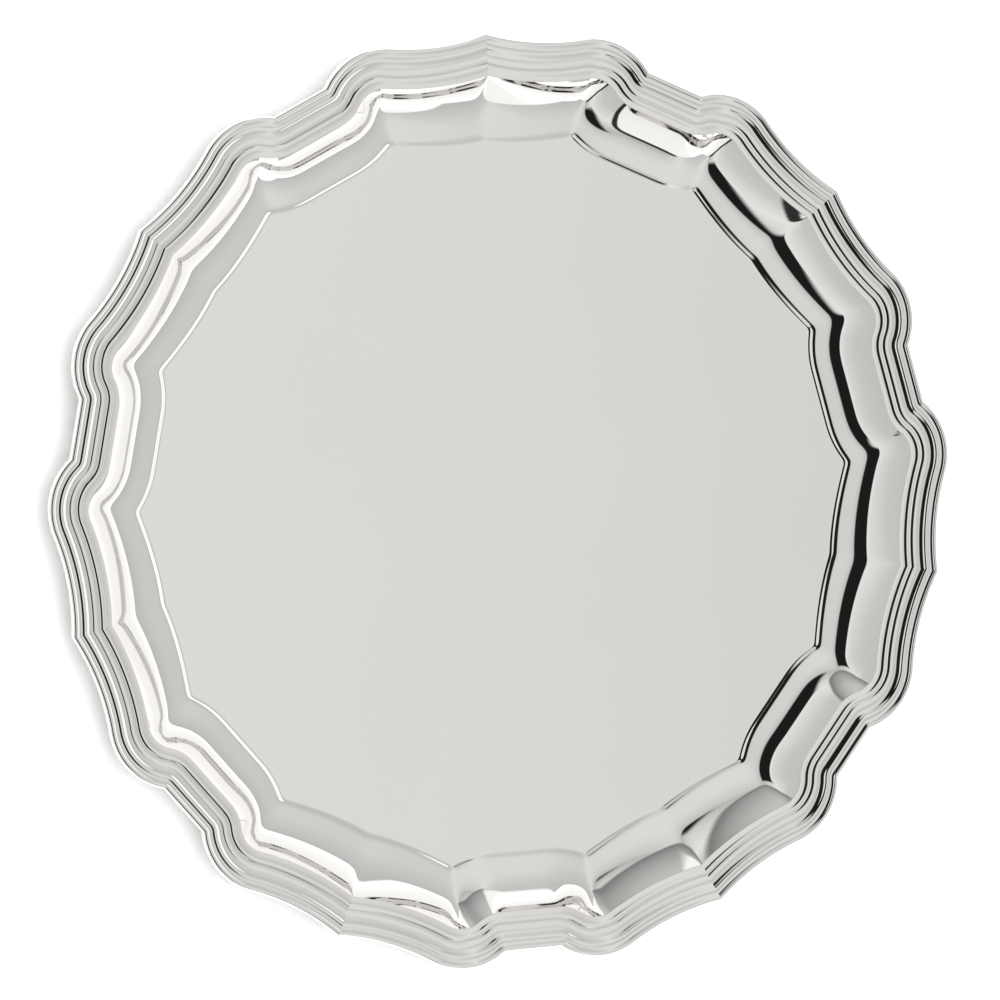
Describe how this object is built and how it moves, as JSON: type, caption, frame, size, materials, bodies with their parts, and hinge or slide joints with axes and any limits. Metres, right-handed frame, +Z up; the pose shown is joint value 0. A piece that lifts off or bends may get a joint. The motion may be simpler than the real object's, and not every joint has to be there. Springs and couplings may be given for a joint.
{
  "type": "offering plate",
  "caption": "Round polished offering plate with a flat floor, a coved wall and a reeded pie-crust border; a felt pad under the base.",
  "frame": {"origin": "centre of the underside, on the face that the plate rests on, on the axis of the seven-fold pattern", "axes": "+Z up out of the well, +Y towards one of the seven sharp border points"},
  "size_m": [0.3048, 0.3013, 0.015],
  "materials": {
    "polished_silver": "mirror-polished silver plate with fine polishing haze",
    "border_silver": "mirror-polished silver plate, faintly darker in the hollows",
    "solder": "dull grey soft solder, hidden under the border",
    "wire": "drawn brass wire, hidden in the edge",
    "felt": "thin dark green wool felt"
  },
  "bodies": {
    "root": {"tray_pan": "polished_silver", "border_section_1": "border_silver", "border_section_2": "border_silver", "border_section_3": "border_silver", "border_section_4": "border_silver", "border_section_5": "border_silver", "border_section_6": "border_silver", "border_section_7": "border_silver", "border_solder": "solder", "rim_wire": "wire", "base_pad": "felt"}
  },
  "joints": []
}
